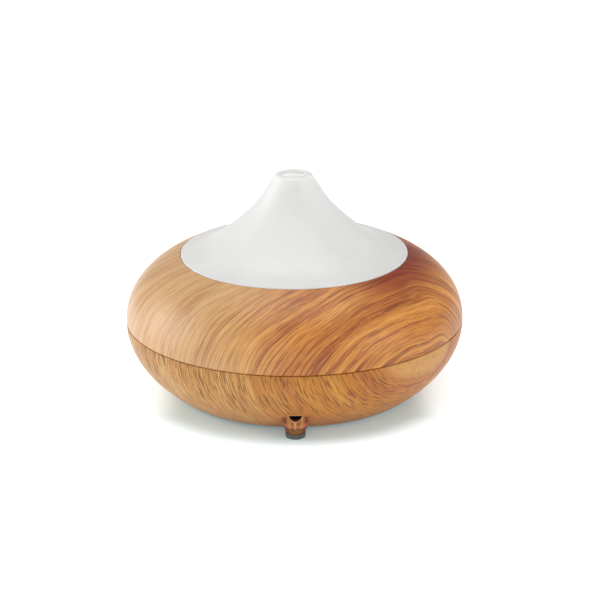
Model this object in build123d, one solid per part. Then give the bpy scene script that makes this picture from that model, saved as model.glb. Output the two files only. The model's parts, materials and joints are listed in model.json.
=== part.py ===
from build123d import *
from math import asin, copysign, cos, degrees, radians, sin, tan
import os

# Ultrasonic essential oil diffuser: a squat round casing in two halves with a tall white cone on top.
# Millimetres, +Z up. The origin is on the table, under the middle of the casing.
# -Y is the side with the cord inlet, and the two push buttons are on +Y.

# ---- driving dimensions ----
BODY_R = 84.0          # casing radius at its widest
EQUATOR_Z = 36.4       # height of the widest section
UPPER_H = 43.5         # semi-height of the upper outline, before its top is cut off
UPPER_POWER = 2.24     # superellipse power of the upper outline
LOWER_H = 51.6         # semi-height of the lower outline, before its bottom is cut off
LOWER_POWER = 1.91     # superellipse power of the lower outline
WALL = 2.4             # casing wall
SEAM_Z = 37.0          # middle of the gap between the casing halves
SEAM_GAP = 0.25
EDGE = 0.3             # bevel on the edges of the casing that show
BASE_Z = 1.6           # underside of the casing
RIM_R = 56.6           # opening in the upper casing that holds the cone
BRIM_RISE = 0.4        # how far the brim of the cone stands above that opening
RIM_STEP = 2.0         # depth of the ledge under the rim of the cone
TOP_Z = 111.2          # top of the cone
TIP_R = 9.0            # outside of the flat end of the cone
OUTLET_R = 5.8         # mist outlet
CONE_WALL = 2.0
GUIDE_Z = 58.0         # underside of the mist guide inside the lid
TANK_WALL = 2.2
TANK_Z = 19.0          # underside of the tank floor
TANK_RIM_Z = 50.0
TANK_R = 69.8          # outside of the tank above its flange
PLATE_R = 57.6         # base plate
PLATE_T = 2.3
LEDGE_R = 53.5         # opening in the bottom of the casing, inside its ledge
FEET_R = 67.6          # circle that the feet stand on
FOOT_R = 6.0
PAD_R = 4.85
PAD_H = 2.4
PAD_NECK_R = 4.3       # the part of a pad that plugs into its foot
PAD_GAP, PAD_SEAT = 0.4, 0.8   # open groove above a pad, and the depth of its socket
INLET_R = 3.2          # half-round cord inlet above the front foot
FAN_SIZE = 30.0
FAN_H = 10.0
FAN_Y = 34.0
FAN_Z = 6.2            # underside of the fan
FAN_BORE_R = 14.0
TOWER_Y = 38.0         # air tower in the tank
TOWER_X_HALF, TOWER_Y_HALF = 8.0, 5.0   # inside of the tower
TOWER_WALL = 2.0
PIEZO_R = 10.0
PIEZO_Z = 13.4         # underside of the ultrasonic disc
PIEZO_T = 0.8
FLOAT_X, FLOAT_Y = -36.0, -22.0
FLOAT_Z = 23.0         # underside of the float in an empty tank
FLOAT_R, FLOAT_H = 11.0, 10.0
FLOAT_TRAVEL = 5.0
POST_R = 3.0           # post that the float slides on
BUTTON_X, BUTTON_Z = 11.0, 25.0
BUTTON_R = 4.9
KEY_BOARD_Y = 64.4     # inner face of the key board
SWITCH_TIP_Y = 71.2
BOARD_Z = 7.0          # underside of the main board
BOARD_T = 1.6
LED_RING_R = 23.0
LED_BOARD_Z = 15.4
RUN_GAP = 0.3          # room between pieces that slide past each other
SCREW_R, HEAD_R, HEAD_H = 1.2, 2.4, 1.4
COARSE, FINE = 9, 13   # points along a curve

FOOT_ANGLES = (-90, 30, 150)
CORNER_ANGLES = (45, 135, 225, 315)
CLAMP_ANGLES = (30, 150, 270)
LED_ANGLES = tuple(range(180, 361, 30))
LED_SCREW_ANGLES = (195, 345)
BOARD_HOLES = ((-31, -24), (31, -24), (-22, -44), (22, -44))

FLANGE_Z = SEAM_Z + SEAM_GAP / 2    # face of the tank flange that the lid rests on
LOWER_RIM_Z = SEAM_Z - SEAM_GAP / 2
PLATE_TOP_Z = BASE_Z + PLATE_T
LEDGE_TOP_Z = PLATE_TOP_Z + 2.0
BOARD_TOP_Z = BOARD_Z + BOARD_T
FAN_TOP_Z = FAN_Z + FAN_H


# ---- helpers ----
def casing_point(turn, inset=0.0):
    """Point (r, z) of the casing outline; turn is -90 at the bottom, 0 at the equator and 90 at the top."""
    height, power = (UPPER_H, UPPER_POWER) if turn >= 0 else (LOWER_H, LOWER_POWER)
    angle = radians(abs(turn))
    r = (BODY_R - inset) * cos(angle) ** (2 / power)
    z = EQUATOR_Z + copysign((height - inset) * sin(angle) ** (2 / power), turn)
    return r, z


def casing_turn(z, inset=0.0):
    """The turn at which the casing outline reaches height z."""
    height, power = (UPPER_H, UPPER_POWER) if z >= EQUATOR_Z else (LOWER_H, LOWER_POWER)
    share = abs(z - EQUATOR_Z) / (height - inset)
    return copysign(degrees(asin(share ** (power / 2))), z - EQUATOR_Z)


def casing_radius(z, inset=0.0):
    return casing_point(casing_turn(z, inset), inset)[0]


def casing_height(r, above):
    """Height at which the casing has radius r, above or below its equator."""
    height, power = (UPPER_H, UPPER_POWER) if above else (-LOWER_H, LOWER_POWER)
    return EQUATOR_Z + height * (1 - (r / BODY_R) ** power) ** (1 / power)


def casing_curve(z_start, z_end, inset=0.0, count=COARSE):
    """Outline of the casing between two heights."""
    start, end = casing_turn(z_start, inset), casing_turn(z_end, inset)
    turns = [start + (end - start) * i / (count - 1) for i in range(count)]
    return Spline(*[casing_point(turn, inset) for turn in turns])


def section(*parts):
    """Face bounded by curves and corner points, taken in order and joined by straight lines."""
    edges, first, last = [], None, None
    for part in parts:
        is_point = isinstance(part, tuple)
        start = Vector(*part) if is_point else part @ 0
        if first is None:
            first = start
        else:
            edges.append(Line(last, start))
        if not is_point:
            edges.append(part)
        last = start if is_point else part @ 1
    edges.append(Line(last, first))
    return make_face(edges)


def turned(face):
    """Solid of revolution of a face drawn as (radius, height)."""
    return revolve(Plane.XZ * face, Axis.Z)


def ring(r_in, r_out, z_low, z_high):
    return turned(section((r_in, z_low), (r_out, z_low), (r_out, z_high), (r_in, z_high)))


def disc(r, z_low, z_high, x=0.0, y=0.0):
    return Pos(x, y, (z_low + z_high) / 2) * Cylinder(r, z_high - z_low)


def block(x_span, y_span, z_span):
    spans = (x_span, y_span, z_span)
    middle = [(low + high) / 2 for low, high in spans]
    size = [high - low for low, high in spans]
    return Pos(*middle) * Box(*size)


def rod_y(r, y_low, y_high, x, z):
    """Round bar along Y."""
    return Pos(x, (y_low + y_high) / 2, z) * Rot(90, 0, 0) * Cylinder(r, y_high - y_low)


def on_circle(radius, angle):
    return radius * cos(radians(angle)), radius * sin(radians(angle))


def around(shape, angles):
    """Copies of a shape turned about the middle of the object."""
    return [Rot(0, 0, angle) * shape for angle in angles]


def screw(length, shank_r=SCREW_R, head_r=HEAD_R, head_h=HEAD_H):
    """Pan-head screw pointing up, its head resting on z = 0 from below, with a cross recess."""
    shape = disc(head_r, -head_h, 0) + disc(shank_r, 0, length)
    arm, half, depth = 0.6 * head_r, 0.3, 0.5 * head_h
    cut = (-head_h, depth - head_h)
    cross = block((-arm, arm), (-half, half), cut) + block((-half, half), (-arm, arm), cut)
    return shape - cross


def screws_up(places, z, length, **sizes):
    return [Pos(x, y, z) * screw(length, **sizes) for x, y in places]


def screws_down(places, z, length, **sizes):
    return [Pos(x, y, z) * Rot(180, 0, 0) * screw(length, **sizes) for x, y in places]


def rounded(points_radii):
    """Closed outline face from (r, z, corner radius) triples."""
    points = [(r, z) for r, z, corner in points_radii]
    corners = [corner for r, z, corner in points_radii]
    return make_face(FilletPolyline(*points, radius=corners, close=True).edges())


def pillar(half_x, half_y, corner, z_span, x=0.0, y=0.0):
    """Upright block with rounded corners."""
    low, high = z_span
    return Pos(x, y, low) * extrude(RectangleRounded(2 * half_x, 2 * half_y, corner), high - low)


def casing_solid(inset=0.0):
    """The whole casing as one solid body, used to trim pieces to its curve."""
    low, high = BASE_Z, EQUATOR_Z + 0.9 * (UPPER_H - inset)
    return turned(section((0, low), casing_curve(low, high, inset, FINE), (0, high)))


# ---- lid ----
RIM_Z = casing_height(RIM_R, above=True)
STEP_Z = RIM_Z - RIM_STEP
STEP_LOW_Z = STEP_Z - 2.0
LID_SCREW_R = 49.8
GUIDE_T = 1.8


def upper_shell():
    """Upper half of the casing: open at the top, with a ledge for the cone and a thick lower edge."""
    ledge_r, skirt_r, skirt_z = 53.9, 80.4, 41.0
    outside = casing_curve(FLANGE_Z + EDGE, RIM_Z - EDGE)
    inside = casing_curve(STEP_LOW_Z, skirt_z, WALL)
    return turned(section(
        (skirt_r, FLANGE_Z), (casing_radius(FLANGE_Z) - EDGE, FLANGE_Z), outside,
        (RIM_R, RIM_Z - EDGE / 2), (RIM_R, STEP_Z), (ledge_r, STEP_Z), (ledge_r, STEP_LOW_Z), inside))


def cone_curve():
    """Outside of the cone, from its brim up to its shoulder."""
    brim, flare, middle = (RIM_R - RUN_GAP, RIM_Z + BRIM_RISE), (45.2, 74.0), (33.0, 82.5)
    neck, shoulder = (19.0, 96.0), (10.5, 108.6)
    return Spline(brim, flare, middle, neck, shoulder, tangents=[(-1, 0.12), (-1, 1.5)])


def parallel_back(curve, distance, count=COARSE):
    """The curve moved sideways by a constant distance to its left, and run from its end to its start."""
    points = []
    for i in range(count):
        share = 1 - i / (count - 1)
        along = curve.tangent_at(share)
        points.append(curve.position_at(share) + Vector(-along.Y, along.X) * distance)
    return Spline(*points)


def mist_cover():
    """White translucent cone with the mist outlet; its skirt carries four screw bosses."""
    skirt_in, skirt_out, boss_r = 51.3, 53.3, 2.8
    outside = cone_curve()
    inside = parallel_back(outside, CONE_WALL)
    brim, brim_r = outside @ 0, RIM_R - RUN_GAP
    guide_top = GUIDE_Z + GUIDE_T
    wall = section((brim_r, STEP_Z), outside, (TIP_R, TOP_Z), (OUTLET_R, TOP_Z),
                   (OUTLET_R, (inside @ 0).Y), inside)
    wall = fillet(wall.vertices().sort_by_distance((TIP_R, TOP_Z))[0], 2.0)
    wall = fillet(wall.vertices().sort_by_distance((OUTLET_R, TOP_Z))[0], 0.8)
    wall = fillet(wall.vertices().sort_by_distance((brim.X, brim.Y))[0], 0.5)
    skirt = ring(skirt_in, skirt_out, guide_top, STEP_Z + 1.4)
    under_skin = parallel_back(outside, CONE_WALL / 2)
    below_skin = turned(section((0, TOP_Z - 4), under_skin, (brim_r, guide_top), (0, guide_top)))
    bosses = disc(boss_r, guide_top, TOP_Z, LID_SCREW_R) & below_skin
    cover = turned(wall) + skirt + around(bosses, CORNER_ANGLES)
    return cover - around(disc(SCREW_R, guide_top, STEP_Z, LID_SCREW_R), CORNER_ANGLES)


def mist_guide():
    """Inner tray that clamps the cone into the lid, throws splashes back and pipes the mist up."""
    wall_out, wall_in, tube_r, bore_r, tube_top = 59.0, 57.4, 8.6, 7.0, 104.0
    low, high, wall_top = GUIDE_Z, GUIDE_Z + GUIDE_T, STEP_LOW_Z
    guide = turned(rounded([
        (wall_out, low, 0.8), (wall_out, wall_top, 0), (wall_in, wall_top, 0), (wall_in, high, 0.8),
        (45.5, high, 4), (11.0, 66.2, 2), (tube_r, 69.0, 1), (tube_r, tube_top, 0.5),
        (bore_r, tube_top, 0.5), (bore_r, 66.6, 3), (12.0, 63.9, 3), (45.0, low, 4)]))
    return guide - around(disc(SCREW_R, low, high, LID_SCREW_R), CORNER_ANGLES)


def lid_screws():
    places = [on_circle(LID_SCREW_R, angle) for angle in CORNER_ANGLES]
    return screws_up(places, GUIDE_Z, length=9.0)


# ---- casing base ----
BASE_SCREW_R = 54.4
TANK_SCREW_R = 74.0
LUG_Z, LUG_TOP_Z = 25.2, 27.4
SHELF_Z = 34.6         # ledge that the tank flange is clamped down on
KEY_POST_X, KEY_SCREW_R = 20.5, 1.0
KEY_BOARD_OUT_Y = KEY_BOARD_Y + BOARD_T


def foot_boss():
    """Round post of a foot: tapered below, merged into the casing and cut off inside its wall."""
    low, top = PAD_H + PAD_GAP, casing_height(FEET_R + FOOT_R, above=False) + 1.5
    waist_r, waist_z, shoulder_z = 5.3, 4.4, 6.0
    post = turned(section((0, low), (PAD_R + 0.1, low), (waist_r, waist_z), (FOOT_R, shoulder_z),
                          (FOOT_R, top), (0, top)))
    socket = disc(PAD_NECK_R + 0.1, low, low + PAD_SEAT)
    return Pos(FEET_R, 0, 0) * (post - socket) - casing_solid(WALL / 2)


def half_round(r, y_low, y_high):
    """Bar along Y with a half-round section, its flat side up where the foot meets the casing."""
    top = casing_height(FEET_R + FOOT_R, above=False)
    return rod_y(r, y_low, y_high, 0, top) & block((-r, r), (y_low, y_high), (top - r, top))


def shell_lug():
    """Tab on the casing wall that a tank screw passes through from below."""
    inner_end, half_w, hole_r = 70.6, 4.0, 1.5
    tab = block((inner_end, BODY_R), (-half_w, half_w), (LUG_Z, LUG_TOP_Z)) & casing_solid(WALL / 2)
    return tab - disc(hole_r, LUG_Z, LUG_TOP_Z, TANK_SCREW_R)


def casing_wall():
    """Turned wall of the lower half: ledge for the base plate, shelf for the tank, rim at the seam."""
    shelf_in, shelf_t, rim_in = 78.8, 2.0, BODY_R - WALL
    outside = casing_curve(BASE_Z + EDGE, LOWER_RIM_Z - EDGE, count=FINE)
    inside = casing_curve(SHELF_Z - shelf_t, LEDGE_TOP_Z, WALL, FINE)
    return turned(section(
        (LEDGE_R, PLATE_TOP_Z), (PLATE_R + RUN_GAP, PLATE_TOP_Z), (PLATE_R + RUN_GAP, BASE_Z),
        (casing_radius(BASE_Z) - EDGE, BASE_Z), outside,
        (casing_radius(LOWER_RIM_Z) - EDGE, LOWER_RIM_Z), (rim_in, LOWER_RIM_Z), (rim_in, SHELF_Z),
        (shelf_in, SHELF_Z), (shelf_in, SHELF_Z - shelf_t), inside, (LEDGE_R, LEDGE_TOP_Z)))


def along_y(r, y_low, y_high, xs):
    """Bars along Y at the height of the buttons."""
    return [rod_y(r, y_low, y_high, x, BUTTON_Z) for x in xs]


def lower_shell():
    """Lower half of the casing with feet, cord inlet, button holes, screw posts and tank lugs."""
    post_r, post_top_z, hole_top_z = 2.6, 11.0, 10.0
    key_post_r, key_hole_end = 2.4, 72.5
    inlet_front_y, inlet_back_y = -80.0, -64.0
    key_posts, buttons = (-KEY_POST_X, KEY_POST_X), (-BUTTON_X, BUTTON_X)
    shell = casing_wall() + around(foot_boss(), FOOT_ANGLES) + around(shell_lug(), CORNER_ANGLES)
    shell += around(disc(post_r, PLATE_TOP_Z, post_top_z, BASE_SCREW_R), CORNER_ANGLES)
    shell -= around(disc(SCREW_R, PLATE_TOP_Z, hole_top_z, BASE_SCREW_R), CORNER_ANGLES)
    inside_skin = casing_solid(WALL / 2)
    shell += [bar & inside_skin for bar in along_y(key_post_r, KEY_BOARD_OUT_Y, BODY_R, key_posts)]
    shell -= along_y(KEY_SCREW_R, KEY_BOARD_OUT_Y, key_hole_end, key_posts)
    shell -= along_y(BUTTON_R + RUN_GAP, SWITCH_TIP_Y, BODY_R, buttons)
    return shell - half_round(INLET_R, inlet_front_y, inlet_back_y)


def foot_pad(angle):
    """Rubber pad with a neck that plugs into its foot."""
    x, y = on_circle(FEET_R, angle)
    pad = disc(PAD_R, 0, PAD_H, x, y)
    pad = fillet(pad.edges().filter_by(GeomType.CIRCLE).sort_by(Axis.Z)[0], 0.5)
    return pad + disc(PAD_NECK_R, PAD_H, PAD_H + PAD_GAP + PAD_SEAT, x, y)


def cord_gland():
    """Rubber lining of the cord inlet, with a collar on the inside."""
    collar_y, mouth_y, back_y = -64.9, -72.0, -63.7
    liner = half_round(INLET_R - 0.1, mouth_y, collar_y) + half_round(INLET_R + 1.0, collar_y, back_y)
    return liner - half_round(INLET_R - 0.9, mouth_y, back_y)


def grille(x, y, radius, pitch, width):
    """Parallel slots that fill a circle."""
    count = int(radius / pitch)
    slots = []
    for i in range(-count, count + 1):
        half = (radius ** 2 - (i * pitch) ** 2) ** 0.5
        slots.append(Pos(x + i * pitch, y, BASE_Z) * extrude(
            SlotOverall(2 * half, width, rotation=90), PLATE_T))
    return slots


def fan_corners():
    half = 0.4 * FAN_SIZE
    return [(x, FAN_Y + y) for x in (-half, half) for y in (-half, half)]


def base_plate():
    """Removable bottom with air intake slots under the fan and vents under the main board."""
    plate = disc(PLATE_R, BASE_Z, PLATE_TOP_Z)
    for x, y in fan_corners():
        plate += disc(2.4, PLATE_TOP_Z, FAN_Z, x, y)
        plate -= disc(SCREW_R, BASE_Z + 1, FAN_Z, x, y)
    for x, y in BOARD_HOLES:
        plate += disc(2.6, PLATE_TOP_Z, BOARD_Z, x, y)
        plate -= disc(1.0, BASE_Z + 1, BOARD_Z, x, y)
    plate -= around(disc(HEAD_R + 0.2, BASE_Z, BASE_Z + HEAD_H + 0.1, BASE_SCREW_R), CORNER_ANGLES)
    plate -= around(disc(SCREW_R, BASE_Z, PLATE_TOP_Z, BASE_SCREW_R), CORNER_ANGLES)
    return plate - grille(0, FAN_Y, 14.0, 3.4, 1.8) - grille(0, -34.0, 9.0, 3.4, 1.8)


def base_screws():
    places = [on_circle(BASE_SCREW_R, angle) for angle in CORNER_ANGLES]
    return screws_up(places, BASE_Z + HEAD_H, length=7.0)


# ---- water tank ----
FLANGE_T = 2.0
FLANGE_LOW_Z = FLANGE_Z - FLANGE_T
CLAMP_R = 16.2
LED_SCREW_R = 0.9
LED_BOARD_T = 1.6
LED_TOP_Z = LED_BOARD_Z + LED_BOARD_T
TANK_WAIST_R = 62.0
TANK_FLOOR_Z = TANK_Z + TANK_WALL
TANK_BOSS_Z = LUG_TOP_Z
CLAMP_TOP_Z = PIEZO_Z - 0.8
CLAMP_T = 1.0
WELL_Z = TANK_Z - 4.0  # underside of the sunken seat for the ultrasonic disc


def tank_bowl():
    """Bowl with a sunken seat for the ultrasonic disc, a clamping flange and a rim for the lid."""
    inner_waist = TANK_WAIST_R - TANK_WALL
    inner_r = TANK_R - TANK_WALL
    flange_r = BODY_R - WALL - RUN_GAP
    key_out, key_in, key_z = 79.6, 78.4, 40.0
    return turned(rounded([
        (8.0, WELL_Z, 0), (13.6, WELL_Z, 0.8), (16.4, TANK_Z, 1.0), (TANK_WAIST_R - 3, TANK_Z, 3),
        (TANK_WAIST_R, TANK_Z + 5, 3), (TANK_WAIST_R, 31.9, 2), (67.4, FLANGE_LOW_Z, 0),
        (flange_r, FLANGE_LOW_Z, 0), (flange_r, FLANGE_Z, 0), (key_out, FLANGE_Z, 0),
        (key_out, key_z, 0.4), (key_in, key_z, 0.4), (key_in, FLANGE_Z, 0), (TANK_R, FLANGE_Z, 0.5),
        (TANK_R, TANK_RIM_Z, 0.9), (inner_r, TANK_RIM_Z, 0.9), (inner_r, 38.2, 3),
        (inner_waist, 33.0, 3), (inner_waist, TANK_FLOOR_Z, 4), (14.2, TANK_FLOOR_Z, 1.0),
        (11.4, WELL_Z + 2.0, 0.8), (8.0, WELL_Z + 2.0, 0.5)]))


def tower_block(margin, z_span):
    """Upright block with the outline of the air tower, or that outline grown by a margin."""
    half_x, half_y = TOWER_X_HALF + TOWER_WALL, TOWER_Y_HALF + TOWER_WALL
    return pillar(half_x + margin, half_y + margin, 2.5, z_span, y=TOWER_Y)


def tower_shaft(z_span):
    return pillar(TOWER_X_HALF, TOWER_Y_HALF, 1.0, z_span, y=TOWER_Y)


def air_tower():
    """Rectangular tube bonded into the tank floor, with a flange on the floor; air rises through it."""
    flange_w, flange_t = 2.5, 1.5
    tower = tower_block(0, (TANK_Z, TANK_RIM_Z))
    tower += tower_block(flange_w, (TANK_FLOOR_Z, TANK_FLOOR_Z + flange_t))
    return tower - tower_shaft((TANK_Z, TANK_RIM_Z))


def water_tank():
    """The bowl with its float post, fill line, screw bosses and a hole for the air tower."""
    tank = tank_bowl()
    tank += ring(TANK_R - TANK_WALL - 0.4, TANK_R - 1, 44.0, 44.5)
    tank += disc(5.0, TANK_Z, FLOAT_Z, FLOAT_X, FLOAT_Y)
    tank += disc(POST_R, TANK_Z, 40.0, FLOAT_X, FLOAT_Y)
    tank += around(disc(3.0, TANK_BOSS_Z, FLANGE_LOW_Z + 1, TANK_SCREW_R), CORNER_ANGLES)
    tank += around(disc(2.4, CLAMP_TOP_Z, TANK_Z + 1, CLAMP_R), CLAMP_ANGLES)
    tank += around(disc(2.2, LED_TOP_Z, TANK_Z + 1, LED_RING_R), LED_SCREW_ANGLES)
    tank -= tower_block(0, (TANK_Z - 1, TANK_FLOOR_Z + 1))
    tank -= disc(1.9, TANK_Z - 1, 38.4, FLOAT_X, FLOAT_Y)
    tank -= around(disc(SCREW_R, TANK_BOSS_Z, 34.0, TANK_SCREW_R), CORNER_ANGLES)
    tank -= around(disc(1.0, CLAMP_TOP_Z, 18.0, CLAMP_R), CLAMP_ANGLES)
    tank -= around(disc(LED_SCREW_R, LED_TOP_Z, 20.0, LED_RING_R), LED_SCREW_ANGLES)
    return tank


def tank_seal():
    inner_r, outer_r = 79.0, 81.0
    return ring(inner_r, outer_r, SHELF_Z, FLANGE_LOW_Z)


def tank_screws():
    places = [on_circle(TANK_SCREW_R, angle) for angle in CORNER_ANGLES]
    return screws_up(places, LUG_Z, length=8.0)


def air_outlet_cap():
    """Hood over the air tower, with slots that face the middle of the tank and both sides."""
    skin, fit, low, high = 1.2, 0.2, 46.5, 54.5
    half_x, half_y = TOWER_X_HALF + TOWER_WALL + fit, TOWER_Y_HALF + TOWER_WALL + fit
    cap = tower_block(fit + skin, (low, high))
    cap = fillet(cap.faces().sort_by(Axis.Z)[-1].edges(), 1.0)
    cap -= tower_block(fit, (low, high - skin))
    slot_z = (TANK_RIM_Z + 0.4, high - skin - 0.4)
    for x in (-6, -2, 2, 6):
        cap -= block((x - 1.2, x + 1.2), (TOWER_Y - half_y - 2, TOWER_Y - half_y + 1), slot_z)
    for y in (-3, 1, 5):
        cap -= block((-half_x - 2, half_x + 2), (TOWER_Y + y - 2.2, TOWER_Y + y + 0.2), slot_z)
    return cap


# ---- float ----
MAGNET_IN_R, MAGNET_OUT_R, MAGNET_TOP_Z = 4.6, 7.4, FLOAT_Z + 2.7


def water_float():
    """Ring float with a pocket for its magnet underneath."""
    body = disc(FLOAT_R, FLOAT_Z, FLOAT_Z + FLOAT_H)
    body = fillet(body.edges().filter_by(GeomType.CIRCLE), 1.2)
    body -= disc(POST_R + 0.5, FLOAT_Z, FLOAT_Z + FLOAT_H)
    return Pos(FLOAT_X, FLOAT_Y) * (body - ring(MAGNET_IN_R, MAGNET_OUT_R, FLOAT_Z, MAGNET_TOP_Z))


def float_magnet():
    return Pos(FLOAT_X, FLOAT_Y) * ring(MAGNET_IN_R, MAGNET_OUT_R, FLOAT_Z + 0.3, MAGNET_TOP_Z)


def float_cap():
    """Push-on stop at the top of the float's post."""
    low = FLOAT_Z + FLOAT_H + FLOAT_TRAVEL + 0.4
    cap = disc(5.5, low, low + 2.6)
    cap = fillet(cap.edges().filter_by(GeomType.CIRCLE).sort_by(Axis.Z)[-1], 0.8)
    return Pos(FLOAT_X, FLOAT_Y) * (cap - disc(POST_R, low, 40.0))


def reed_switch():
    """Glass reed switch that stands in the float's post, with its two wires."""
    glass = disc(1.3, 24, 36)
    glass = fillet(glass.edges().filter_by(GeomType.CIRCLE), 1.0)
    wires = disc(0.3, 16.0, 24.5, 0.8) + disc(0.3, 16.0, 24.5, -0.8)
    return Pos(FLOAT_X, FLOAT_Y) * (glass + wires)


# ---- ultrasonic unit, under the tank ----
def transducer_disc():
    """Piezo disc with its raised electrode underneath."""
    electrode_r, electrode_t = 4.5, 0.1
    return disc(PIEZO_R, PIEZO_Z, PIEZO_Z + PIEZO_T) + disc(electrode_r, PIEZO_Z - electrode_t, PIEZO_Z)


def transducer_gasket():
    """Rubber ring that grips the rim of the disc and seals it under the tank."""
    inner_r, outer_r = 8.4, 12.2
    return ring(inner_r, outer_r, CLAMP_TOP_Z, WELL_Z) - disc(PIEZO_R, PIEZO_Z, PIEZO_Z + PIEZO_T)


def transducer_clamp():
    """Three-eared pressure plate."""
    plate_r, ear_r, window_r, hole_r = 13.0, 2.6, 7.0, 1.0
    low, high = CLAMP_TOP_Z - CLAMP_T, CLAMP_TOP_Z
    ear = block((0, CLAMP_R), (-ear_r, ear_r), (low, high)) + disc(ear_r, low, high, CLAMP_R)
    plate = disc(plate_r, low, high) + around(ear, CLAMP_ANGLES)
    return plate - disc(window_r, low, high) - around(disc(hole_r, low, high, CLAMP_R), CLAMP_ANGLES)


def clamp_screws():
    places = [on_circle(CLAMP_R, angle) for angle in CLAMP_ANGLES]
    return screws_up(places, CLAMP_TOP_Z - CLAMP_T, length=6.0, shank_r=1.0, head_r=2.0)


# ---- lights ----
def led_board():
    """Circuit board in an open ring round the ultrasonic unit."""
    inner_r, outer_r, cut_y = 19.6, 27.0, 8.0
    board = ring(inner_r, outer_r, LED_BOARD_Z, LED_TOP_Z)
    board -= block((-outer_r, outer_r), (cut_y, outer_r), (LED_BOARD_Z, LED_TOP_Z))
    return board - around(disc(LED_SCREW_R, LED_BOARD_Z, LED_TOP_Z, LED_RING_R), LED_SCREW_ANGLES)


def leds():
    """Seven square light packages with a shallow dish on top."""
    top = LED_TOP_Z + 1.6
    package = Pos(LED_RING_R, 0, 0) * pillar(2.5, 2.5, 0.4, (LED_TOP_Z, top))
    return around(package - disc(1.9, top - 0.3, top, LED_RING_R), LED_ANGLES)


def led_screws():
    places = [on_circle(LED_RING_R, angle) for angle in LED_SCREW_ANGLES]
    return screws_up(places, LED_BOARD_Z, length=3.6, shank_r=LED_SCREW_R, head_r=1.8, head_h=1.0)


# ---- fan ----
def fan_frame():
    """Square axial fan housing with its hub seat, struts and shaft sleeve."""
    half, hub_r, floor_t = FAN_SIZE / 2, 8.2, 1.2
    frame = pillar(half, half, 2.0, (0, FAN_H)) - disc(FAN_BORE_R, 0, FAN_H)
    frame += disc(hub_r, 0, floor_t)
    frame += around(block((hub_r - 1, FAN_BORE_R + 1), (-0.9, 0.9), (0, floor_t)), CLAMP_ANGLES)
    frame += disc(2.2, floor_t, 6.0)
    frame -= disc(1.0, 0.6, 6.0)
    corner = 0.4 * FAN_SIZE
    frame -= [disc(SCREW_R, 0, FAN_H, x, y) for x in (-corner, corner) for y in (-corner, corner)]
    return Pos(0, FAN_Y, FAN_Z) * frame


def fan_coil():
    """Ring of motor windings on the fan's sleeve."""
    return Pos(0, FAN_Y, FAN_Z) * ring(2.2, 6.2, 2.0, 5.8)


def fan_impeller():
    """Cup with seven pitched blades and a steel-coloured shaft stub."""
    hub_in, hub_out, tip_r, low, high = 7.0, 8.0, 13.4, 1.8, 9.0
    wheel = disc(hub_out, low, high) - disc(hub_in, low, high - 1.2)
    count, chord, pitch, thick = 7, 7.6, 38, 0.9
    blade = block((hub_out - 0.5, tip_r + 2), (-chord / 2, chord / 2), (-thick / 2, thick / 2))
    blade = Pos(0, 0, (low + high) / 2) * Rot(pitch, 0, 0) * blade
    blades = [Rot(0, 0, 360 * i / count) * blade for i in range(count)]
    sweep_room = disc(tip_r, low, high) - disc(hub_in + 0.3, low, high - 1.0)
    wheel += [one & sweep_room for one in blades]
    return Pos(0, FAN_Y, FAN_Z) * (wheel + disc(0.95, 0.8, high - 1.0))


def fan_screws():
    return screws_down(fan_corners(), FAN_TOP_Z, length=FAN_H + 3.0)


def air_duct():
    """Collar that leads the fan's air up into the tower."""
    out_r, in_r, roof_z = 14.3, 13.3, TANK_Z - 1.2
    duct = disc(out_r, FAN_TOP_Z, TANK_Z, 0, FAN_Y) - disc(in_r, FAN_TOP_Z, roof_z, 0, FAN_Y)
    return duct - tower_shaft((roof_z, TANK_Z))


# ---- buttons ----
def push_button(x):
    """Round key that follows the casing's curve, with a retaining collar and a nub behind it."""
    collar_y, back_y, nub_y = 73.2, 72.2, SWITCH_TIP_Y + 0.55
    cap = rod_y(BUTTON_R, collar_y, BODY_R + 5, x, BUTTON_Z) & casing_solid(-0.6)
    return cap + rod_y(5.7, back_y, collar_y, x, BUTTON_Z) + rod_y(1.6, nub_y, back_y, x, BUTTON_Z)


def key_board():
    half_w, half_h = 24, 6
    board = block((-half_w, half_w), (KEY_BOARD_Y, KEY_BOARD_OUT_Y), (BUTTON_Z - half_h, BUTTON_Z + half_h))
    for x in (-KEY_POST_X, KEY_POST_X):
        board -= rod_y(KEY_SCREW_R, KEY_BOARD_Y, KEY_BOARD_OUT_Y, x, BUTTON_Z)
    return board


def tact_switches():
    """Two square tact switches with round plungers."""
    half, body_y, plunger_r = 3.0, 69.5, 1.7
    switches = []
    for x in (-BUTTON_X, BUTTON_X):
        body = block((x - half, x + half), (KEY_BOARD_OUT_Y, body_y), (BUTTON_Z - half, BUTTON_Z + half))
        switches.append(body + rod_y(plunger_r, body_y, SWITCH_TIP_Y, x, BUTTON_Z))
    return switches


def key_screws():
    one = Rot(-90, 0, 0) * screw(7.0, shank_r=KEY_SCREW_R, head_r=1.9, head_h=1.1)
    return [Pos(x, KEY_BOARD_Y, BUTTON_Z) * one for x in (-KEY_POST_X, KEY_POST_X)]


# ---- main board ----
SOCKET_XS = (-24.5, -16.0, -7.5, 9.0)


def main_board():
    board = pillar(35, 15, 2.0, (BOARD_Z, BOARD_TOP_Z), y=-35)
    return board - [disc(1.0, BOARD_Z, BOARD_TOP_Z, x, y) for x, y in BOARD_HOLES]


def board_screws():
    return screws_down(BOARD_HOLES, BOARD_TOP_Z, length=5.4, shank_r=1.0, head_r=2.0)


def capacitors():
    """Two upright electrolytic capacitors."""
    cans = []
    for x, y, r, height in ((-26.5, -34, 4.0, 9.0), (-15.5, -39, 3.15, 8.0)):
        can = disc(r, BOARD_TOP_Z, BOARD_TOP_Z + height, x, y)
        cans.append(fillet(can.edges().filter_by(GeomType.CIRCLE).sort_by(Axis.Z)[-1], 0.4))
    return cans


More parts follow.
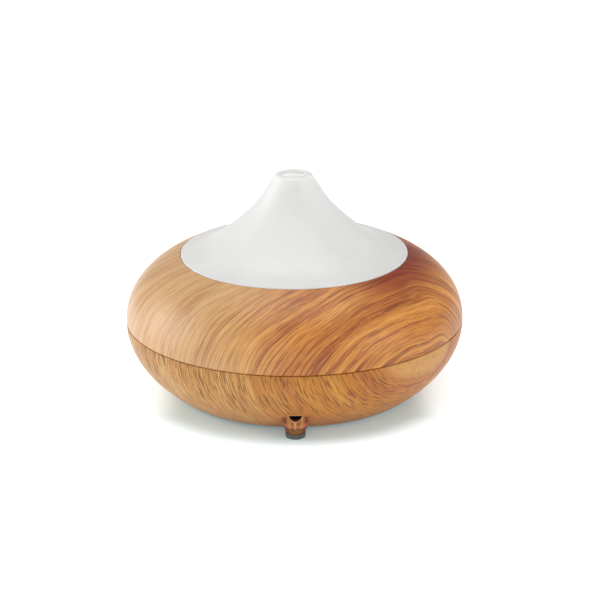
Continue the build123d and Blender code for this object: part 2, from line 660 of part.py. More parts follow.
def inductor():
    """Drum-wound coil."""
    low, high = BOARD_TOP_Z, BOARD_TOP_Z + 6.5
    return Pos(-3, -37) * (disc(5.0, low, high) - ring(4.3, 6.0, low + 1.2, high - 1.2))


def heatsink():
    """Finned aluminium block behind the power transistor."""
    sink = block((12, 31), (-33.5, -31.5), (BOARD_TOP_Z, 17.0))
    return sink + [block((12 + 4.5 * i, 13 + 4.5 * i), (-40, -32), (BOARD_TOP_Z, 17.0)) for i in range(5)]


def power_transistor():
    """Tab-mounted transistor with three legs."""
    body = block((16.5, 26.5), (-31.5, -27.0), (11.0, 17.5))
    return body + [block((x - 0.4, x + 0.4), (-29.7, -29.1), (BOARD_TOP_Z, 11.5)) for x in (19, 21.5, 24)]


def control_chip():
    """Small-outline chip with eight legs a side."""
    chip = block((-5, 5), (-28.6, -24.8), (BOARD_TOP_Z + 0.1, BOARD_TOP_Z + 1.7))
    legs = [block((x - 0.2, x + 0.2), (-29.7, -23.7), (BOARD_TOP_Z, BOARD_TOP_Z + 0.4))
            for x in [-4.445 + 1.27 * i for i in range(8)]]
    return chip + legs


def wire_sockets():
    """Four sockets for the inner leads, and one at the back edge for the supply cord."""
    high = BOARD_TOP_Z + 5.4
    sockets = []
    for x in SOCKET_XS:
        housing = block((x - 3, x + 3), (-23.6, -20.2), (BOARD_TOP_Z, high))
        sockets.append(housing - block((x - 2.2, x + 2.2), (-22.6, -20.2), (BOARD_TOP_Z + 1, high - 1)))
    supply = block((-4, 4), (-50, -44.5), (BOARD_TOP_Z, high + 0.6))
    sockets.append(supply - block((-3, 3), (-50, -46), (BOARD_TOP_Z + 1, high - 0.4)))
    return sockets


def lead(points, r=0.9):
    """Insulated wire pair along straight runs joined by arcs as large as the runs allow."""
    route = [Vector(*point) for point in points]
    radii = []
    for before, here, after in zip(route, route[1:], route[2:]):
        run = min((here - before).length, (after - here).length)
        turn = radians((here - before).get_angle(after - here))
        radii.append(0.45 * run / tan(turn / 2))
    line = FilletPolyline(*route, radius=radii)
    return sweep(Plane(line @ 0, z_dir=line % 0) * Circle(r), path=line)


LEAD_Z, LEAD_END_Y = BOARD_TOP_Z + 2.7, -22.0


def transducer_leads():
    x = SOCKET_XS[3]
    start = PIEZO_Z - 0.1
    return lead([(3.5, -2, start), (3.5, -2, 9.8), (x - 2, -10, 10.0), (x, -17, LEAD_Z),
                 (x, LEAD_END_Y, LEAD_Z)])


def led_leads():
    x = SOCKET_XS[2]
    return lead([(-12.5, -17, LED_BOARD_Z), (-12.5, -17, 11.6), (-9, -17.2, 10.8), (x, LEAD_END_Y, LEAD_Z)])


def fan_leads():
    x = SOCKET_XS[1]
    return lead([(-FAN_SIZE / 2, 26, 9), (-20, 26, 9), (-26, 17, 9.4), (-27, 3, 9.8), (-22, -11, 10.6),
                 (x, -17, LEAD_Z), (x, LEAD_END_Y, LEAD_Z)])


def key_leads():
    x = SOCKET_XS[0]
    return lead([(-14, 65.2, 19), (-14, 65.2, 15), (-24, 57, 13.4), (-36, 44, 13.4), (-45, 26, 12.6),
                 (-46, 7, 11.4), (-37, -8, 10.8), (x, -16, LEAD_Z), (x, LEAD_END_Y, LEAD_Z)])


# ---- build and write ----
def pieces():
    """Every node of the object, by name."""
    nodes = {
        "upper_shell": upper_shell(), "mist_cover": mist_cover(), "mist_guide": mist_guide(),
        "lid_screws": lid_screws(),
        "lower_shell": lower_shell(), "cord_gland": cord_gland(), "base_plate": base_plate(),
        "base_screws": base_screws(),
        "water_tank": water_tank(), "tank_seal": tank_seal(), "tank_screws": tank_screws(),
        "air_tower": air_tower(), "air_outlet_cap": air_outlet_cap(),
        "float_ring": water_float(), "float_magnet": float_magnet(), "float_cap": float_cap(),
        "reed_switch": reed_switch(),
        "transducer_disc": transducer_disc(), "transducer_gasket": transducer_gasket(),
        "transducer_clamp": transducer_clamp(), "clamp_screws": clamp_screws(),
        "transducer_leads": transducer_leads(),
        "led_board": led_board(), "leds": leds(), "led_screws": led_screws(), "led_leads": led_leads(),
        "fan_frame": fan_frame(), "fan_coil": fan_coil(), "fan_impeller": fan_impeller(),
        "fan_screws": fan_screws(), "air_duct": air_duct(), "fan_leads": fan_leads(),
        "light_button": push_button(-BUTTON_X), "mist_button": push_button(BUTTON_X),
        "key_board": key_board(), "tact_switches": tact_switches(), "key_screws": key_screws(),
        "key_leads": key_leads(),
        "main_board": main_board(), "board_screws": board_screws(), "capacitors": capacitors(),
        "inductor": inductor(), "heatsink": heatsink(), "power_transistor": power_transistor(),
        "control_chip": control_chip(), "wire_sockets": wire_sockets(),
    }
    for name, angle in zip(("front", "right", "left"), FOOT_ANGLES):
        nodes["foot_pad_" + name] = foot_pad(angle)
    return nodes


def write(nodes):
    os.makedirs("parts", exist_ok=True)
    for name, shape in nodes.items():
        whole = Compound(children=shape) if isinstance(shape, list) else shape
        export_step(whole, "parts/" + name + ".step")


write(pieces())
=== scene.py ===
import bpy
import json
import math
from mathutils import Matrix, Vector


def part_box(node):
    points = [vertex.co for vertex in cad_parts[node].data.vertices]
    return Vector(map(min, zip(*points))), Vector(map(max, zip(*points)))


# Looks of the essential oil diffuser: printed wood casing, white mist cone, and the works inside.
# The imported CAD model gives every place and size; lengths in the materials are millimetres.

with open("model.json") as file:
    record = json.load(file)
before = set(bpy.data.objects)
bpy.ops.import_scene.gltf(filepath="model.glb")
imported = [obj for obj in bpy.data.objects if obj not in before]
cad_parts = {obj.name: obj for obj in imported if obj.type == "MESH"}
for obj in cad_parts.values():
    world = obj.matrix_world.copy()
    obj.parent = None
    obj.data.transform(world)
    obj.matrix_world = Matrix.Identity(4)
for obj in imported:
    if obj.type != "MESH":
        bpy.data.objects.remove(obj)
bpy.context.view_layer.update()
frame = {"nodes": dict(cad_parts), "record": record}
MM = 0.001
PER_METRE = 1000.0


# ---- places read from the frame ----
def span(node, axis):
    """Lowest and highest coordinate of a CAD node along an axis, in millimetres."""
    low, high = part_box(node)
    return low[axis] * PER_METRE, high[axis] * PER_METRE


BODY_R = span("upper_shell", 0)[1]
SEAM_Z = (span("lower_shell", 2)[1] + span("upper_shell", 2)[0]) / 2
RIM_Z = span("upper_shell", 2)[1]
BASE_Z = span("lower_shell", 2)[0]
FOOT_FRONT_Y = span("foot_pad_front", 1)[0]
TOP_Z = span("mist_cover", 2)[1]
OUTLET_R = 5.8           # mist outlet, inside the tip of the cone
GLAND_COLLAR = 1.0       # how much wider than the inlet the collar of its lining is, on each side
INLET_R = (span("cord_gland", 0)[1] - span("cord_gland", 0)[0]) / 2 - GLAND_COLLAR


# ---- node trees ----
MIX_FIRST, MIX_SECOND, MIX_RESULT = 6, 7, 2   # the colour sockets of a Mix node


def srgb(red, green, blue):
    """Linear colour from the usual 0 to 255 values."""
    linear = []
    for value in (red, green, blue):
        share = value / 255
        linear.append(share / 12.92 if share <= 0.04045 else ((share + 0.055) / 1.055) ** 2.4)
    return (*linear, 1.0)


class Graph:
    """One material, and short calls that add nodes to it. Positions are in millimetres."""

    def __init__(self, name):
        self.material = bpy.data.materials.new(name)
        self.material.use_nodes = True
        self.tree = self.material.node_tree
        self.shader = self.tree.nodes["Principled BSDF"]
        place = self.node("ShaderNodeTexCoord").outputs["Object"]
        self.place = self.vector_math("SCALE", place, scale=PER_METRE)
        self.x, self.y, self.z = self.split(self.place)

    def node(self, kind, **settings):
        made = self.tree.nodes.new(kind)
        for key, value in settings.items():
            setattr(made, key, value)
        return made

    def feed(self, socket, value):
        """Puts a number, a colour or another node's output into a socket."""
        if isinstance(value, bpy.types.NodeSocket):
            self.tree.links.new(value, socket)
        else:
            socket.default_value = value

    def math(self, operation, *values):
        made = self.node("ShaderNodeMath", operation=operation)
        for socket, value in zip(made.inputs, values):
            self.feed(socket, value)
        return made.outputs[0]

    def times(self, first, second):
        return self.math("MULTIPLY", first, second)

    def minus(self, first, second):
        return self.math("SUBTRACT", first, second)

    def hypot(self, first, second):
        """Distance whose two parts, at right angles, are these."""
        return self.math("SQRT", self.math("ADD", self.times(first, first), self.times(second, second)))

    def heading(self):
        """Angle round the Z axis, from the front towards +X."""
        return self.math("ARCTAN2", self.x, self.times(self.y, -1.0))

    def vector_math(self, operation, *values, scale=None):
        made = self.node("ShaderNodeVectorMath", operation=operation)
        for socket, value in zip(made.inputs, values):
            self.feed(socket, value)
        if scale is not None:
            made.inputs["Scale"].default_value = scale
        return made.outputs[0]

    def split(self, vector):
        made = self.node("ShaderNodeSeparateXYZ")
        self.feed(made.inputs[0], vector)
        return made.outputs

    def join(self, x, y, z):
        made = self.node("ShaderNodeCombineXYZ")
        for socket, value in zip(made.inputs, (x, y, z)):
            self.feed(socket, value)
        return made.outputs[0]

    def noise(self, vector, size, detail=2.0, roughness=0.5):
        """Smooth noise of about 0 to 1, whose features are size long in the vector's unit."""
        made = self.node("ShaderNodeTexNoise")
        self.feed(made.inputs["Vector"], vector)
        made.inputs["Scale"].default_value = 1 / size
        made.inputs["Detail"].default_value = detail
        made.inputs["Roughness"].default_value = roughness
        return made.outputs["Fac"]

    def cells(self, vector, size):
        """Distance to the middle of the nearest of cells about size across, in units of size."""
        made = self.node("ShaderNodeTexVoronoi", feature="F1")
        self.feed(made.inputs["Vector"], vector)
        made.inputs["Scale"].default_value = 1 / size
        return made.outputs["Distance"]

    def fade(self, value, start, end, low=0.0, high=1.0):
        """low where value is at start, high where it is at end, smooth between them."""
        made = self.node("ShaderNodeMapRange", interpolation_type="SMOOTHSTEP")
        for key, setting in zip(("From Min", "From Max", "To Min", "To Max"), (start, end, low, high)):
            self.feed(made.inputs[key], setting)
        self.feed(made.inputs["Value"], value)
        return made.outputs["Result"]

    def mix(self, share, first, second, blend="MIX"):
        made = self.node("ShaderNodeMix", data_type="RGBA", blend_type=blend)
        self.feed(made.inputs["Factor"], share)
        self.feed(made.inputs[MIX_FIRST], first)
        self.feed(made.inputs[MIX_SECOND], second)
        return made.outputs[MIX_RESULT]

    def bump(self, height, depth, strength=1.0):
        """Sends a height of 0 to 1, depth deep, to the shader's normal."""
        made = self.node("ShaderNodeBump")
        made.inputs["Strength"].default_value = strength
        made.inputs["Distance"].default_value = depth * MM
        self.feed(made.inputs["Height"], height)
        self.feed(self.shader.inputs["Normal"], made.outputs["Normal"])

    def finish(self, **inputs):
        """Sets the shader's own sockets; underscores in the names stand for spaces."""
        for key, value in inputs.items():
            self.feed(self.shader.inputs[key.replace("_", " ")], value)
        return self.material


# ---- printed wood ----
KNOT_TURN = math.radians(50)      # from the front towards +X: the middle of the arched grain
ARCH_UNIT = 60.0                  # distance round the casing that counts as 1 in the arch
ARCH_POWER = 1.22                 # above 1, the arches widen away from the knot
DRIFT_SIZE = 42.0                 # size of the slow waves in the grain
SHEEN_TURN = 1.2                   # radians from the front towards -X: the middle of the side painted pale as sheen
RED_SHADE_TURN = 1.3                    # radians from the front towards +X: the middle of the top corner painted darker red, partly print colour and partly painted shade
SLANT = 0.7                       # how much height counts in the direction along the grain


def grain_field(g, sign, arc_centre, arc_scale, lift, reach_scale, wobble):
    """Distance across the grain, and a vector whose first axis runs across it, the others along it.

    The grain arches round a point on the seam. sign is 1 for the upper half of the casing and -1 for
    the lower; the arc numbers unroll its profile into a height above or below the seam.
    """
    angle = g.heading()
    turn = g.math("WRAP", g.minus(angle, KNOT_TURN), -math.pi, math.pi)
    away = g.math("ABSOLUTE", turn)
    beyond_knot = g.fade(turn, 0.0, 0.35, 0.0, 0.7)
    squeeze = g.times(beyond_knot, g.fade(away, math.pi, 0.5))
    away = g.math("MULTIPLY_ADD", away, squeeze, away)
    reach = g.times(g.math("POWER", g.times(away, BODY_R / ARCH_UNIT), ARCH_POWER), reach_scale)
    radius = g.hypot(g.x, g.y)
    height = g.times(g.minus(g.z, SEAM_Z), float(sign))
    profile = g.math("ARCTAN2", height, g.minus(radius, arc_centre))
    rise = g.math("MULTIPLY_ADD", profile, arc_scale, lift)
    across = g.hypot(reach, rise)
    drift = g.minus(g.noise(g.place, DRIFT_SIZE, 1.0), 0.5)
    across = g.math("MULTIPLY_ADD", drift, wobble, across)
    along = g.math("MULTIPLY_ADD", g.z, SLANT, g.y)
    return across, g.join(across, g.x, along)


def streaks(g, grain, across_size, along_size, detail=2.0, roughness=0.5):
    """Noise of about 0 to 1 whose marks are across_size wide and along_size long, with the grain."""
    scale = (1 / across_size, 1 / along_size, 1 / along_size)
    return g.noise(g.vector_math("MULTIPLY", grain, scale), 1.0, detail, roughness)


def painted_sheen_side(g):
    """1 on the left, where the print is painted paler as sheen of the left window, and 0 elsewhere."""
    return g.fade(g.math("COSINE", g.math("ADD", g.heading(), SHEEN_TURN)), 0.25, 0.95)


def upper_wood():
    """Orange-brown print with dense arched red-brown lines towards the knot; painted sheen makes it
    pale and faint on the left, and painted shade partly darkens the red top right corner.
    """
    g = Graph("wood_upper")
    across, grain = grain_field(g, 1, 48.0, 35.0, 13.0, 33.0, 7.0)
    sheen_side = painted_sheen_side(g)
    broad = streaks(g, grain, 8.0, 110.0, 2.0)
    bands = streaks(g, grain, 2.4, 90.0, 3.0, 0.62)
    lines = streaks(g, grain, 0.62, 34.0, 3.0, 0.68)
    fibres = streaks(g, grain, 0.36, 9.0, 2.0, 0.6)
    # Paler colours on the left side are painted sheen from the left window.
    tan = g.mix(sheen_side, srgb(222, 152, 70), srgb(208, 170, 120))
    brown = g.mix(sheen_side, srgb(196, 122, 52), srgb(202, 160, 110))
    colour = g.mix(g.fade(broad, 0.40, 0.62), tan, brown)
    red = g.mix(sheen_side, srgb(158, 84, 38), srgb(192, 144, 98))
    red_share = g.fade(bands, 0.49, 0.60)
    colour = g.mix(g.times(red_share, 0.8), colour, red)
    # Lines fade out on the left, washed out by the painted sheen.
    strong = g.math("MULTIPLY_ADD", sheen_side, -0.15, 0.75)
    in_band = g.math("MULTIPLY_ADD", red_share, 0.5, 0.5)
    dark_line = g.times(g.fade(lines, 0.52, 0.57), g.times(strong, in_band))
    colour = g.mix(dark_line, colour, g.mix(sheen_side, srgb(112, 50, 22), srgb(158, 98, 58)))
    fine = g.math("MULTIPLY_ADD", sheen_side, -0.1, 0.34)
    colour = g.mix(g.times(g.fade(fibres, 0.48, 0.64), fine), colour, srgb(140, 78, 36))
    colour = g.mix(g.times(g.fade(fibres, 0.5, 0.34), fine), colour, srgb(240, 176, 92))
    # Top right corner made darker red: partly the print's colour, partly painted shade where the right
    # side gets less sheen.
    right = g.fade(g.math("COSINE", g.minus(g.heading(), RED_SHADE_TURN)), 0.5, 0.95)
    red_corner_and_shade = g.times(g.fade(g.z, SEAM_Z + 20, RIM_Z), right)
    colour = g.mix(red_corner_and_shade, colour, srgb(178, 104, 66), "MULTIPLY")
    near_seam = g.times(g.fade(g.z, SEAM_Z + 16, SEAM_Z + 4), g.minus(1.0, sheen_side))
    colour = g.mix(g.times(near_seam, 0.7), colour, srgb(232, 226, 222), "MULTIPLY")
    g.bump(g.math("ADD", fibres, lines), 0.03, 0.3)
    roughness = g.fade(fibres, 0.2, 0.8, 0.36, 0.46)
    lacquer = g.math("MULTIPLY_ADD", sheen_side, 0.35, 0.05)
    return g.finish(Base_Color=colour, Roughness=roughness, Specular_IOR_Level=0.4,
                    Coat_Weight=lacquer, Coat_Roughness=0.34)


def lower_wood():
    """Yellow-tan print: short dark pores that run down from the seam, and a plain patch at the knot."""
    g = Graph("wood_lower")
    across, grain = grain_field(g, -1, 38.0, 46.0, 11.0, 46.0, 3.0)
    broad = streaks(g, grain, 12.0, 70.0, 2.0)
    bands = streaks(g, grain, 2.2, 45.0, 2.0, 0.6)
    fibres = streaks(g, grain, 0.6, 16.0, 2.0, 0.6)
    pores = streaks(g, grain, 0.6, 4.4, 1.0, 0.4)
    patch = g.fade(across, 27.0, 18.0)
    ring = g.times(g.fade(across, 18.0, 23.0), g.fade(across, 40.0, 26.0))
    sheen_side = painted_sheen_side(g)
    # Paler tan and brown on the left side are painted sheen from the left window.
    tan = g.mix(sheen_side, srgb(192, 133, 50), srgb(202, 160, 104))
    brown = g.mix(sheen_side, srgb(180, 114, 38), srgb(190, 141, 80))
    colour = g.mix(g.fade(broad, 0.38, 0.64), tan, brown)
    colour = g.mix(g.fade(bands, 0.48, 0.66, 0.0, 0.45), colour, srgb(178, 108, 50))
    colour = g.mix(g.times(ring, g.fade(bands, 0.40, 0.60, 0.0, 0.8)), colour, srgb(166, 88, 44))
    colour = g.mix(g.fade(fibres, 0.48, 0.60, 0.0, 0.55), colour, srgb(146, 86, 36))
    dark = g.times(g.fade(pores, 0.54, 0.61, 0.0, 0.75), g.minus(1.0, patch))
    colour = g.mix(dark, colour, srgb(108, 62, 26))
    curls = g.math("ABSOLUTE", g.minus(g.noise(g.place, 5.0, 3.0, 0.6), 0.5))
    speck = g.fade(curls, 0.03, 0.0, 0.0, 0.55)
    plain = g.mix(speck, srgb(194, 143, 82), srgb(160, 104, 54))
    colour = g.mix(g.times(patch, 0.85), colour, plain)
    low_end = g.fade(g.z, SEAM_Z - 14, BASE_Z, 0.0, 0.4)
    colour = g.mix(low_end, colour, g.mix(sheen_side, srgb(200, 118, 66), srgb(222, 160, 106)))
    colour = foot_print(g, colour)
    g.bump(g.minus(fibres, dark), 0.04, 0.3)
    roughness = g.fade(fibres, 0.2, 0.8, 0.38, 0.5)
    return g.finish(Base_Color=colour, Roughness=roughness, Specular_IOR_Level=0.28,
                    Coat_Weight=0.05, Coat_Roughness=0.34)


def foot_print(g, colour):
    """The front foot's print of dark streaks, with its rounded sides painted darker red-brown as shade,
    darker towards its lower end, and a painted highlight on the inlet edge.
    """
    inlet_z = span("cord_gland", 2)[1]
    half_width = 6.6                                # of the foot, where it meets the casing
    band_top, band_end, dark_end = 4.6, 6.8, 7.2    # below the top of the inlet
    side = g.math("ABSOLUTE", g.x)
    drop = g.minus(inlet_z, g.z)
    in_front = g.fade(g.y, FOOT_FRONT_Y + 6, FOOT_FRONT_Y + 5)
    on_foot = g.times(g.fade(side, half_width, half_width - 0.6), in_front)
    on_foot = g.times(on_foot, g.fade(drop, 0.2, 1.6))
    upright = g.noise(g.join(g.x, g.y, g.times(g.z, 0.12)), 1.3, 1.0)
    # Rounded sides painted darker red-brown: painted shade where they turn away from the light.
    foot = g.mix(g.fade(side, 1.5, 5.5), srgb(196, 138, 62), srgb(140, 70, 42))
    foot = g.mix(g.fade(upright, 0.5, 0.56, 0.0, 0.75), foot, srgb(108, 52, 32))
    band = g.times(g.fade(drop, band_top, band_top + 1), g.fade(drop, band_end, band_end - 0.6))
    foot = g.mix(g.times(band, 0.6), foot, srgb(198, 120, 86))
    # Darker towards the lower end of the foot.
    foot = g.mix(g.fade(drop, dark_end - 0.8, dark_end, 0.0, 0.75), foot, srgb(104, 54, 30))
    colour = g.mix(on_foot, colour, foot)
    # Pale ring round the inlet: a painted highlight on its edge.
    reach = g.hypot(side, drop)
    painted_edge_highlight = g.times(g.fade(reach, INLET_R + 0.6, INLET_R + 0.2), in_front)
    painted_edge_highlight = g.times(painted_edge_highlight, g.fade(drop, -0.45, -0.2))
    return g.mix(g.times(painted_edge_highlight, 0.5), colour, srgb(214, 158, 132))


# ---- plastics and rubber ----
def moulded(g, light, dark, roughness, texture, depth, **shader):
    """Finishes a plastic: faint flow marks in its colour, and a fine mould texture of that size."""
    flow = g.noise(g.place, 22.0, 3.0)
    grit = g.noise(g.place, texture, 2.0, 0.6)
    colour = g.mix(g.fade(flow, 0.3, 0.7), light, dark)
    colour = g.mix(g.fade(grit, 0.3, 0.8, 0.0, 0.25), colour, dark)
    g.bump(grit, depth, 0.4)
    sheen = g.fade(grit, 0.2, 0.8, roughness - 0.05, roughness + 0.07)
    return g.finish(Base_Color=colour, Roughness=sheen, **shader)


def plastic(name, light, dark, roughness, texture, depth):
    """Opaque moulded plastic."""
    return moulded(Graph(name), light, dark, roughness, texture, depth)


def let_through(share):
    """Shader settings of a plastic that lets light in for a few millimetres."""
    return {"Subsurface_Weight": share, "Subsurface_Radius": (1.0, 1.0, 0.95),
            "Subsurface_Scale": 4 * MM}


def rubber(name, light, dark, texture=0.5, shine=0.5):
    """Matt rubber with a fine pebble and a bloom in its colour."""
    g = Graph(name)
    pebble = g.cells(g.place, texture)
    bloom = g.noise(g.place, 4.0, 4.0)
    colour = g.mix(g.fade(bloom, 0.3, 0.75), dark, light)
    g.bump(pebble, 0.05, 0.5)
    dullness = g.fade(bloom, 0.2, 0.8, 0.62, 0.8)
    return g.finish(Base_Color=colour, Roughness=dullness, Specular_IOR_Level=shine)


def wire(name, light, dark):
    """Soft wire insulation with a slight sheen and faint scuffs."""
    g = Graph(name)
    scuff = g.noise(g.place, 1.2, 4.0, 0.6)
    g.bump(scuff, 0.03, 0.4)
    colour = g.mix(g.fade(scuff, 0.35, 0.7), dark, light)
    return g.finish(Base_Color=colour, Roughness=g.fade(scuff, 0.2, 0.8, 0.35, 0.5))


# ---- metals ----
def metal(name, light, dark, roughness, brush=(6.0, 0.35, 0.35), depth=0.02):
    """Metal with brush marks of those sizes along X, Y and Z, and a faint stain."""
    g = Graph(name)
    marks = g.noise(g.vector_math("DIVIDE", g.place, brush), 1.0, 3.0, 0.65)
    stain = g.noise(g.place, 3.0, 3.0)
    uneven = g.times(g.math("ADD", marks, stain), 0.5)
    colour = g.mix(g.fade(uneven, 0.3, 0.7), light, dark)
    g.bump(marks, depth, 0.5)
    sheen = g.fade(marks, 0.2, 0.8, roughness - 0.07, roughness + 0.1)
    return g.finish(Base_Color=colour, Metallic=1.0, Roughness=sheen)


# ---- boards and small electric parts ----
PAD_PITCH = 2.54         # spacing of the pads on a board


def board(name, mask, track, legend):
    """Circuit board: lighter tracks under the solder mask, round pads, and a faint glass cloth."""
    g = Graph(name)
    lanes = g.vector_math("SNAP", g.place, (PAD_PITCH / 2, PAD_PITCH / 2, 100.0))
    route = g.noise(lanes, 5.0, 1.0)
    pads = g.cells(g.place, PAD_PITCH)
    weave = g.noise(g.place, 0.3, 1.0)
    colour = g.mix(g.fade(route, 0.50, 0.53, 0.0, 0.8), mask, track)
    colour = g.mix(g.fade(pads, 0.17, 0.14, 0.0, 0.85), colour, legend)
    colour = g.mix(g.fade(weave, 0.4, 0.7, 0.0, 0.15), colour, track)
    g.bump(g.fade(route, 0.50, 0.53), 0.05, 0.6)
    return g.finish(Base_Color=colour, Roughness=g.fade(weave, 0.2, 0.8, 0.28, 0.40), Coat_Weight=0.3)


def led_package():
    """White package; the dish, which lies under the top face, holds yellow phosphor."""
    g = Graph("led")
    top = span("leds", 2)[1]
    in_dish = g.fade(g.z, top - 0.12, top - 0.2)      # the floor of the dish is below this
    grain = g.noise(g.place, 0.25, 2.0)
    up = g.split(g.node("ShaderNodeNewGeometry").outputs["Normal"])[2]
    phosphor = g.times(in_dish, g.fade(up, 0.7, 0.9))
    yellow = g.mix(grain, srgb(240, 210, 70), srgb(226, 184, 40))
    colour = g.mix(phosphor, srgb(236, 236, 228), yellow)
    g.bump(grain, 0.03, 0.5)
    return g.finish(Base_Color=colour, Roughness=g.fade(grain, 0.2, 0.8, 0.3, 0.45))


def capacitor_can():
    """Dark blue sleeve with a bare, scored aluminium top."""
    g = Graph("capacitor")
    up = g.split(g.node("ShaderNodeNewGeometry").outputs["Normal"])[2]
    bare = g.fade(up, 0.75, 0.85)
    grain = g.noise(g.place, 0.4, 3.0)
    sleeve = g.mix(grain, srgb(26, 34, 66), srgb(38, 48, 88))
    colour = g.mix(bare, sleeve, srgb(206, 208, 210))
    g.bump(grain, 0.02, 0.5)
    return g.finish(Base_Color=colour, Metallic=bare, Roughness=g.fade(grain, 0.2, 0.8, 0.28, 0.42))


def windings():
    """Turns of enamelled copper wire, seen as fine ridges up the coil."""
    g = Graph("coil_copper")
    wire_pitch = 0.35
    turns = g.math("PINGPONG", g.z, wire_pitch / 2)
    ridge = g.math("DIVIDE", turns, wire_pitch / 2)
    shade = g.noise(g.place, 0.8, 2.0)
    colour = g.mix(shade, srgb(196, 98, 48), srgb(150, 62, 28))
    g.bump(ridge, 0.12, 0.9)
    sheen = g.fade(shade, 0.2, 0.8, 0.25, 0.4)
    return g.finish(Base_Color=colour, Metallic=0.7, Roughness=sheen, Coat_Weight=0.4)


def reed_glass():
    """Greenish glass of the reed switch's tube."""
    g = Graph("reed_glass")
    grain = g.noise(g.place, 0.9, 2.0)
    colour = g.mix(grain, srgb(196, 222, 206), srgb(176, 208, 190))
    g.bump(grain, 0.01, 0.4)
    sheen = g.fade(grain, 0.2, 0.8, 0.04, 0.12)
    return g.finish(Base_Color=colour, Roughness=sheen, Transmission_Weight=0.75)


def translucent(name, light, dark, roughness, share, texture=0.7):
    """White plastic that lets a little light through, with an even satin mould finish."""
    return moulded(Graph(name), light, dark, roughness, texture, 0.012, **let_through(share))


def cover_white():
    """The cone: satin white, with a painted glow inside the outlet: emission that brightens its shaded
    inside, standing in for light let in through the thin wall.
    """
    g = Graph("cover_white")
    depth = g.minus(TOP_Z, g.z)
    # Painted glow: emission inside the outlet, strongest a little below the tip.
    painted_glow = g.times(g.fade(depth, 0.4, 2.4), g.fade(depth, 14.0, 8.0))
    painted_glow = g.times(painted_glow, g.fade(g.hypot(g.x, g.y), OUTLET_R + 0.9, OUTLET_R + 0.1))
    return moulded(g, srgb(228, 228, 226), srgb(223, 223, 220), 0.36, 0.7, 0.012, **let_through(0.8),
                   Emission_Color=(1.0, 1.0, 0.97, 1.0), Emission_Strength=g.times(painted_glow, 0.47))


# ---- one material for each slot of the record ----
def slot_materials():
    return {
        "wood_upper": upper_wood(),
        "wood_lower": lower_wood(),
        "cover_white": cover_white(),
        "inner_white": translucent("inner_white", srgb(234, 235, 233), srgb(228, 229, 227), 0.38, 0.15),
        "tank_white": translucent("tank_white", srgb(230, 234, 234),
                                  srgb(222, 227, 227), 0.26, 0.2, 1.1),
        "float_white": plastic("float_white", srgb(230, 232, 231),
                               srgb(214, 218, 217), 0.55, 0.35, 0.06),
        "duct_white": plastic("duct_white", srgb(228, 228, 226), srgb(216, 216, 213), 0.42, 0.5, 0.03),
        "socket_white": plastic("socket_white", srgb(230, 226, 210),
                                srgb(216, 210, 190), 0.4, 0.4, 0.02),
        "base_brown": plastic("base_brown", srgb(120, 82, 52), srgb(100, 68, 42), 0.48, 0.45, 0.07),
        "button_brown": plastic("button_brown", srgb(96, 64, 40), srgb(80, 52, 32), 0.34, 0.35, 0.03),
        "fan_black": plastic("fan_black", srgb(34, 34, 35), srgb(24, 24, 25), 0.42, 0.4, 0.05),
        "switch_black": plastic("switch_black", srgb(38, 38, 40), srgb(26, 26, 28), 0.4, 0.3, 0.03),
        "chip_black": plastic("chip_black", srgb(42, 42, 44), srgb(30, 30, 32), 0.5, 0.2, 0.03),
        "pad_rubber": rubber("pad_rubber", srgb(100, 99, 95), srgb(76, 75, 72)),
        "gland_rubber": rubber("gland_rubber", srgb(12, 7, 8), srgb(5, 2, 3), 0.35, 0.12),
        "seal_rubber": rubber("seal_rubber", srgb(196, 196, 194), srgb(176, 176, 174), 0.4),
        "lead_red": wire("lead_red", srgb(178, 36, 30), srgb(150, 24, 20)),
        "lead_grey": wire("lead_grey", srgb(118, 118, 120), srgb(92, 92, 95)),
        "screw_steel": metal("screw_steel", srgb(206, 206, 204),
                             srgb(168, 168, 166), 0.30, (0.5, 0.5, 0.5)),
        "clamp_steel": metal("clamp_steel", srgb(210, 210, 210), srgb(182, 182, 182), 0.28),
        "disc_steel": metal("disc_steel", srgb(220, 216, 204),
                            srgb(194, 188, 172), 0.32, (0.8, 0.8, 0.8)),
        "heatsink_metal": metal("heatsink_metal", srgb(200, 202, 205),
                                srgb(168, 170, 174), 0.36, (0.3, 0.3, 9.0)),
        "magnet": metal("magnet", srgb(86, 86, 90), srgb(58, 58, 62), 0.55, (0.4, 0.4, 0.4), 0.05),
        "inductor_dark": metal("inductor_dark", srgb(92, 88, 86),
                               srgb(60, 58, 57), 0.6, (0.4, 0.4, 0.4), 0.06),
        "coil_copper": windings(),
        "reed_glass": reed_glass(),
        "board_green": board("board_green", srgb(20, 84, 48), srgb(34, 112, 64), srgb(200, 196, 170)),
        "board_white": board("board_white", srgb(232, 232, 228),
                             srgb(218, 220, 216), srgb(196, 190, 172)),
        "led": led_package(),
        "capacitor": capacitor_can(),
    }


def dress(materials):
    """Gives every CAD node the material of its slot in the record."""
    for part in frame["record"]["subparts"]:
        node = frame["nodes"][part["node"]]
        for place in node.material_slots:
            place.material = materials[part["material_slot"]]


dress(slot_materials())


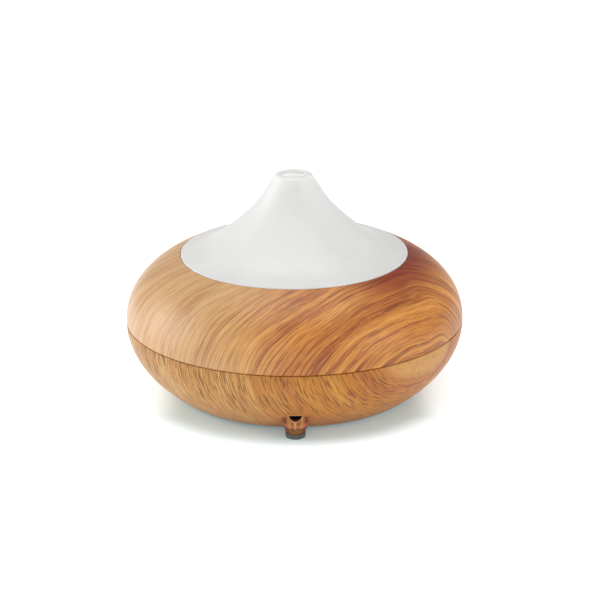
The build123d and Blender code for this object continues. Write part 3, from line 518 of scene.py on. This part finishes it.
# ---- floor, light and camera ----
def floor():
    """Plain pale table top, wide enough to fill the view; round and under the body its colour is cooled
    and its glow turned down and cooled, a painted shadow.
    """
    half = 4.0
    painted_tint_reach = 150.0                             # how far the cool painted shade tint round the body goes
    shade_start, shade_end = BODY_R - 20, BODY_R + 6
    # The painted shadow also fades out beside the body, along X.
    side_start, side_end = BODY_R - 34, BODY_R - 6
    mesh = bpy.data.meshes.new("floor")
    corners = [(-half, -half, 0), (half, -half, 0), (half, half, 0), (-half, half, 0)]
    mesh.from_pydata(corners, [], [(0, 1, 2, 3)])
    plane = bpy.data.objects.new("floor", mesh)
    bpy.context.collection.objects.link(plane)
    g = Graph("floor_white")
    dust = g.noise(g.place, 40.0, 3.0)
    colour = g.mix(dust, srgb(236, 236, 236), srgb(232, 232, 232))
    reach = g.hypot(g.x, g.y)
    # Near the body the floor's colour is cooled: painted shade tint.
    colour = g.mix(g.fade(reach, painted_tint_reach, BODY_R), colour, srgb(223, 239, 243))
    # Near and under the body the glow is turned down and cooled: painted shadow.
    beside_painted_shadow = g.fade(g.math("ABSOLUTE", g.x), side_start, side_end)
    outside_painted_shadow = g.math("MAXIMUM", g.fade(reach, shade_start, shade_end), beside_painted_shadow)
    painted_shadow_tint = g.mix(outside_painted_shadow, (0.68, 0.95, 1.0, 1.0), (1.0, 1.0, 1.0, 1.0))
    painted_shadow_glow = g.fade(outside_painted_shadow, 0.0, 1.0, 0.18, 0.6)
    mesh.materials.append(g.finish(Base_Color=colour, Roughness=0.9, Specular_IOR_Level=0.1,
                                   Emission_Color=painted_shadow_tint, Emission_Strength=painted_shadow_glow))


def area_light(name, place, aim, width, height, power):
    data = bpy.data.lights.new(name, "AREA")
    data.shape = "RECTANGLE"
    data.size, data.size_y = width, height
    data.energy = power
    lamp = bpy.data.objects.new(name, data)
    bpy.context.collection.objects.link(lamp)
    lamp.location = place
    lamp.rotation_euler = (Vector(aim) - Vector(place)).to_track_quat("-Z", "Y").to_euler()


def studio():
    """Bright even room, a large soft window at the left, weaker ones in front and at the right."""
    world = bpy.data.worlds.new("studio")
    bpy.context.scene.world = world
    world.use_nodes = True
    sky = world.node_tree.nodes["Background"]
    sky.inputs["Color"].default_value = (1.0, 1.0, 1.0, 1.0)
    sky.inputs["Strength"].default_value = 0.42
    middle = (0, 0, 0.05)
    area_light("window_left", (-1.25, 0.15, 0.38), middle, 1.0, 0.9, 9.0)
    area_light("window_right", (1.2, -0.7, 0.6), middle, 0.8, 0.8, 5.0)
    area_light("window_front", (-0.1, -1.7, 0.55), middle, 1.4, 0.8, 4.0)
    area_light("overhead", (0, 0.1, 1.4), middle, 1.0, 1.0, 8.0)
    view = bpy.context.scene.view_settings
    view.view_transform = "Standard"
    view.look = "None"


def camera():
    """Long lens from the front, a little above the rim of the cone, very slightly tilted."""
    elevation, distance, roll = math.radians(19.3), 1.2, math.radians(-0.45)
    aim = Vector((0, 0, 0.05))
    data = bpy.data.cameras.new("camera")
    data.lens, data.sensor_width = 144.2, 36.0
    data.shift_x, data.shift_y = 0.0093, -0.0148
    made = bpy.data.objects.new("camera", data)
    bpy.context.collection.objects.link(made)
    back = Vector((0, -math.cos(elevation), math.sin(elevation)))
    made.location = aim + back * distance
    facing = (-back).to_track_quat("-Z", "Y").to_matrix()
    made.rotation_euler = (facing @ Matrix.Rotation(roll, 3, "Z")).to_euler()
    bpy.context.scene.camera = made


floor()
studio()
camera()
